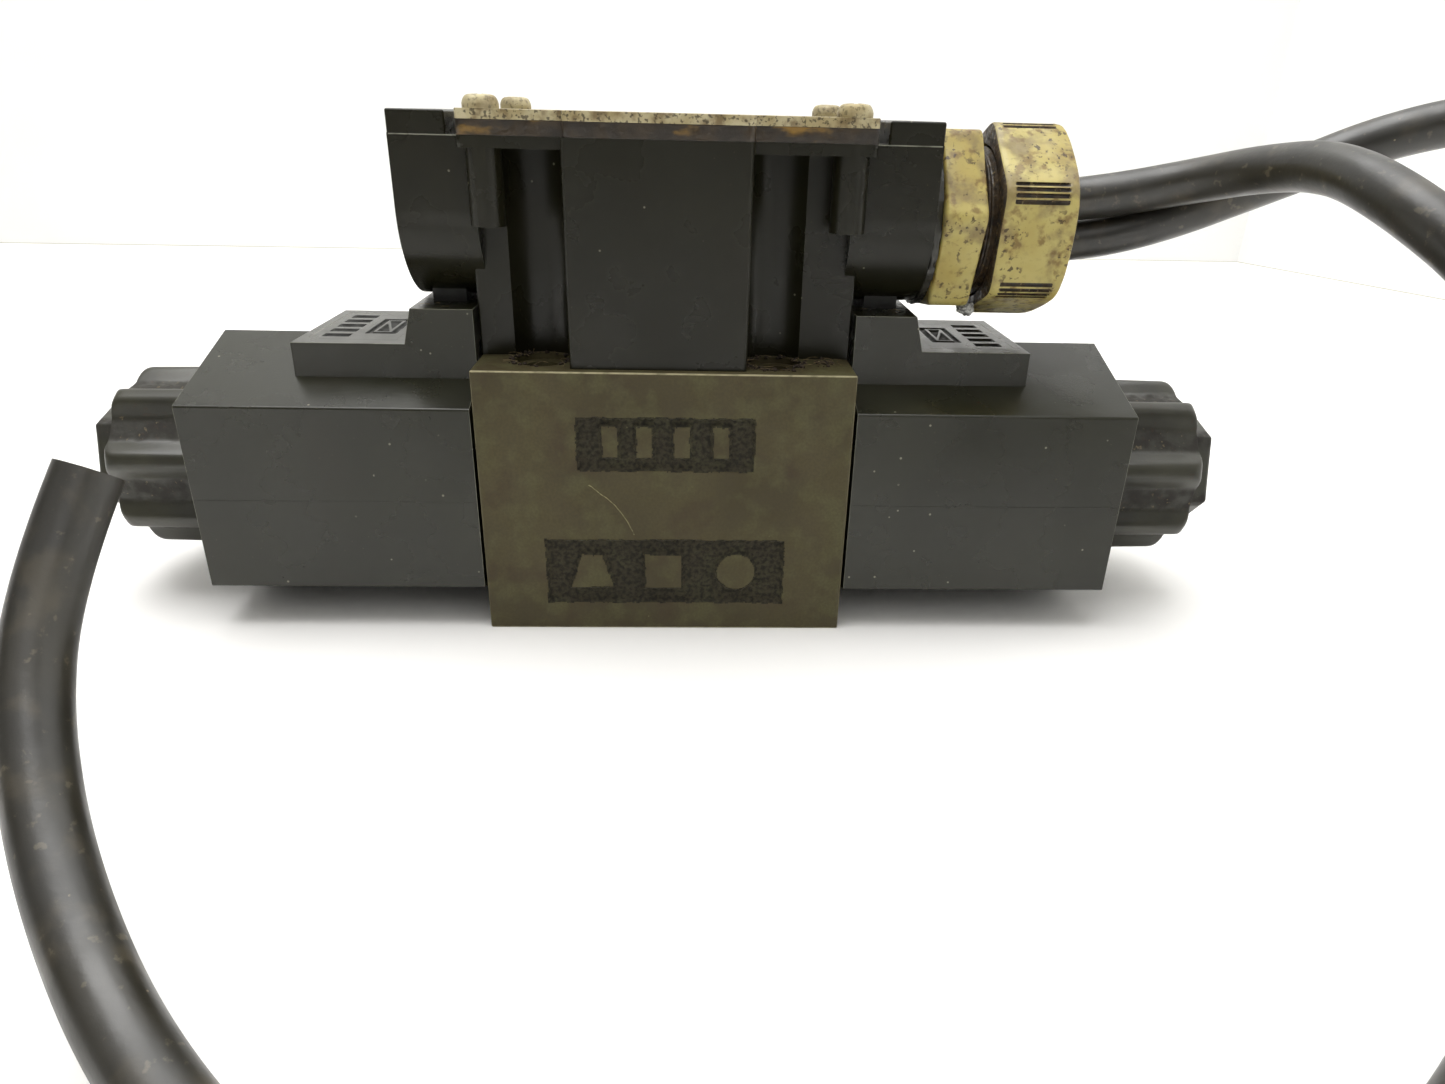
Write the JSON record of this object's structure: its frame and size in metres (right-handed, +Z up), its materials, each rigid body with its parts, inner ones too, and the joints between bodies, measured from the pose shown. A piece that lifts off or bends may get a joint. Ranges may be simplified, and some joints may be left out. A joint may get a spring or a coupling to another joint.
{
  "type": "solenoid directional valve",
  "caption": "Double-solenoid hydraulic directional valve with spool body, hand-nut coils, a lidded terminal box and a cable gland with flying cables.",
  "frame": {"origin": "centre of the valve body's mounting face", "axes": "+X along the spool towards the cable gland, +Y to the back (away from port T), +Z up away from the mounting face"},
  "size_m": [0.2647, 0.1783, 0.0952],
  "materials": {
    "body_iron": "phosphated cast iron, ground faces, dark olive brown with worn light edges",
    "coil_resin": "moulded glass-filled resin, satin, grey-green black",
    "nut_resin": "moulded nylon, satin, dusty",
    "box_resin": "moulded resin, charcoal black, slightly polished",
    "seal_rubber": "nitrile rubber",
    "bright_steel": "ground or plated steel",
    "copper": "enamelled copper wire",
    "brass": "plated brass",
    "lid_packing": "amber packing with old adhesive",
    "zinc_steel": "yellow zinc plate, dirty and speckled",
    "ivory_nylon": "ivory nylon with brown dirt",
    "cable_jacket": "soft PVC cable jacket, dull black"
  },
  "bodies": {
    "valve": {"valve_body": "body_iron", "coil_left": "coil_resin", "coil_right": "coil_resin", "coil_bobbin_left": "coil_resin", "coil_bobbin_right": "coil_resin", "terminal_box": "box_resin", "terminal_block": "box_resin", "port_o_rings": "seal_rubber", "tube_o_ring_left": "seal_rubber", "tube_o_ring_right": "seal_rubber", "pin_o_ring_left": "seal_rubber", "pin_o_ring_right": "seal_rubber", "nut_seal_left": "seal_rubber", "nut_seal_right": "seal_rubber", "coil_seal_left": "seal_rubber", "coil_seal_right": "seal_rubber", "pin_grommet_left": "seal_rubber", "pin_grommet_right": "seal_rubber", "box_seal": "seal_rubber", "gland_seal": "seal_rubber", "gland_washer": "seal_rubber", "centering_spring_left": "bright_steel", "centering_spring_right": "bright_steel", "solenoid_tube_left": "bright_steel", "solenoid_tube_right": "bright_steel", "tube_end_plug_left": "bright_steel", "tube_end_plug_right": "bright_steel", "coil_yoke_left": "bright_steel", "coil_yoke_right": "bright_steel", "box_screws": "bright_steel", "coil_winding_left": "copper", "coil_winding_right": "copper", "coil_pins_left": "brass", "coil_pins_right": "brass", "terminal_clamps": "brass", "terminal_screws": "brass", "lid_gasket": "lid_packing", "lid": "zinc_steel", "lid_screws": "zinc_steel", "gland_body": "ivory_nylon", "gland_nut": "ivory_nylon", "cable_front": "cable_jacket", "cable_rear": "cable_jacket"},
    "spool": {"spool": "bright_steel", "spring_seat_left": "bright_steel", "spring_seat_right": "bright_steel", "push_pin_left": "bright_steel", "push_pin_right": "bright_steel"},
    "armature_left": {"armature_left": "bright_steel"},
    "armature_right": {"armature_right": "bright_steel"},
    "manual_pin_left": {"manual_pin_left": "bright_steel"},
    "manual_pin_right": {"manual_pin_right": "bright_steel"},
    "coil_nut_left": {"coil_nut_left": "nut_resin"},
    "coil_nut_right": {"coil_nut_right": "nut_resin"}
  },
  "joints": [
    {"name": "spool_shift", "type": "slide", "parent": "valve", "child": "spool", "axis": [1, 0, 0], "range_m": [-0.0028, 0.0028], "stiffness_N_per_m": 1200, "deforming": ["centering_spring_left", "centering_spring_right"]},
    {"name": "armature_left_slide", "type": "slide", "parent": "valve", "child": "armature_left", "axis": [1, 0, 0], "range_m": [-0.0028, 0.0028]},
    {"name": "armature_right_slide", "type": "slide", "parent": "valve", "child": "armature_right", "axis": [1, 0, 0], "range_m": [-0.0028, 0.0028]},
    {"name": "manual_pin_left_press", "type": "slide", "parent": "valve", "child": "manual_pin_left", "axis": [1, 0, 0], "range_m": [-0.0028, 0.0028]},
    {"name": "manual_pin_right_press", "type": "slide", "parent": "valve", "child": "manual_pin_right", "axis": [1, 0, 0], "range_m": [-0.0028, 0.0028]},
    {"name": "coil_nut_left_turn", "type": "hinge", "parent": "valve", "child": "coil_nut_left", "pos_m": [-0.0902, 0, 0.025], "axis": [1, 0, 0], "continuous": true},
    {"name": "coil_nut_right_turn", "type": "hinge", "parent": "valve", "child": "coil_nut_right", "pos_m": [0.0902, 0, 0.025], "axis": [1, 0, 0], "continuous": true}
  ],
  "couplings": [
    {"joint": "armature_left_slide", "follows": "spool_shift", "ratio": 1},
    {"joint": "armature_right_slide", "follows": "spool_shift", "ratio": 1},
    {"joint": "manual_pin_left_press", "follows": "spool_shift", "ratio": 1},
    {"joint": "manual_pin_right_press", "follows": "spool_shift", "ratio": 1}
  ]
}
